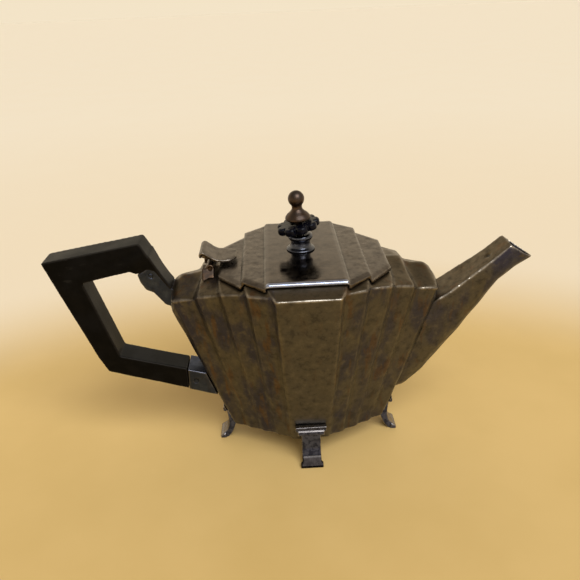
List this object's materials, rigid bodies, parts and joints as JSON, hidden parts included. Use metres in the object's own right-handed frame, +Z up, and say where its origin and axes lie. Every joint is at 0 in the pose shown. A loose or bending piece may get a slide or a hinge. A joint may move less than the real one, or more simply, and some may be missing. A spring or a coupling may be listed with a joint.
{
  "type": "teapot",
  "caption": "Stepped, fan-fluted silver-plate teapot with a hinged lid, angular black handle, keeled spout, petalled finial ring and bracket feet.",
  "frame": {"origin": "on the table plane, under the middle of the overall length and width", "axes": "+X to the spout, -X to the handle, -Y to the front panel, +Z up"},
  "size_m": [0.2544, 0.105, 0.1448],
  "materials": {
    "tarnished_silver": "tarnished silver plate, brown-grey patina, satin",
    "worn_silver": "worn silver plate, brighter and more polished",
    "ebonised_wood": "ebonised hardwood, satin, rubbed edges",
    "black_insulator": "moulded black insulating material, gloss",
    "bronzed_metal": "plate worn to a brown bronze tone, satin",
    "brass_fittings": "dull aged brass"
  },
  "bodies": {
    "pot": {"body_shell": "tarnished_silver", "base_plate": "tarnished_silver", "opening_gallery": "tarnished_silver", "spout": "tarnished_silver", "foot_front": "worn_silver", "foot_back": "worn_silver", "foot_spout_side": "worn_silver", "foot_handle_side": "worn_silver", "handle_grip": "ebonised_wood", "handle_socket_upper": "tarnished_silver", "handle_socket_lower": "tarnished_silver", "handle_peg_upper": "worn_silver", "handle_peg_lower": "worn_silver", "hinge_lug_front": "brass_fittings", "hinge_lug_back": "brass_fittings", "hinge_pin": "brass_fittings"},
    "lid": {"lid_shell": "tarnished_silver", "lid_bezel": "tarnished_silver", "lid_knuckle": "tarnished_silver", "thumbpiece": "tarnished_silver", "finial_base": "worn_silver", "insulator_ring": "black_insulator", "finial_cap": "bronzed_metal", "finial_stud": "brass_fittings", "lid_washer": "brass_fittings", "lid_nut": "brass_fittings"}
  },
  "joints": [
    {"name": "lid_hinge", "type": "hinge", "parent": "pot", "child": "lid", "pos_m": [-0.0419, 0, 0.1092], "axis": [0, -1, 0], "range_deg": [0, 85]}
  ]
}
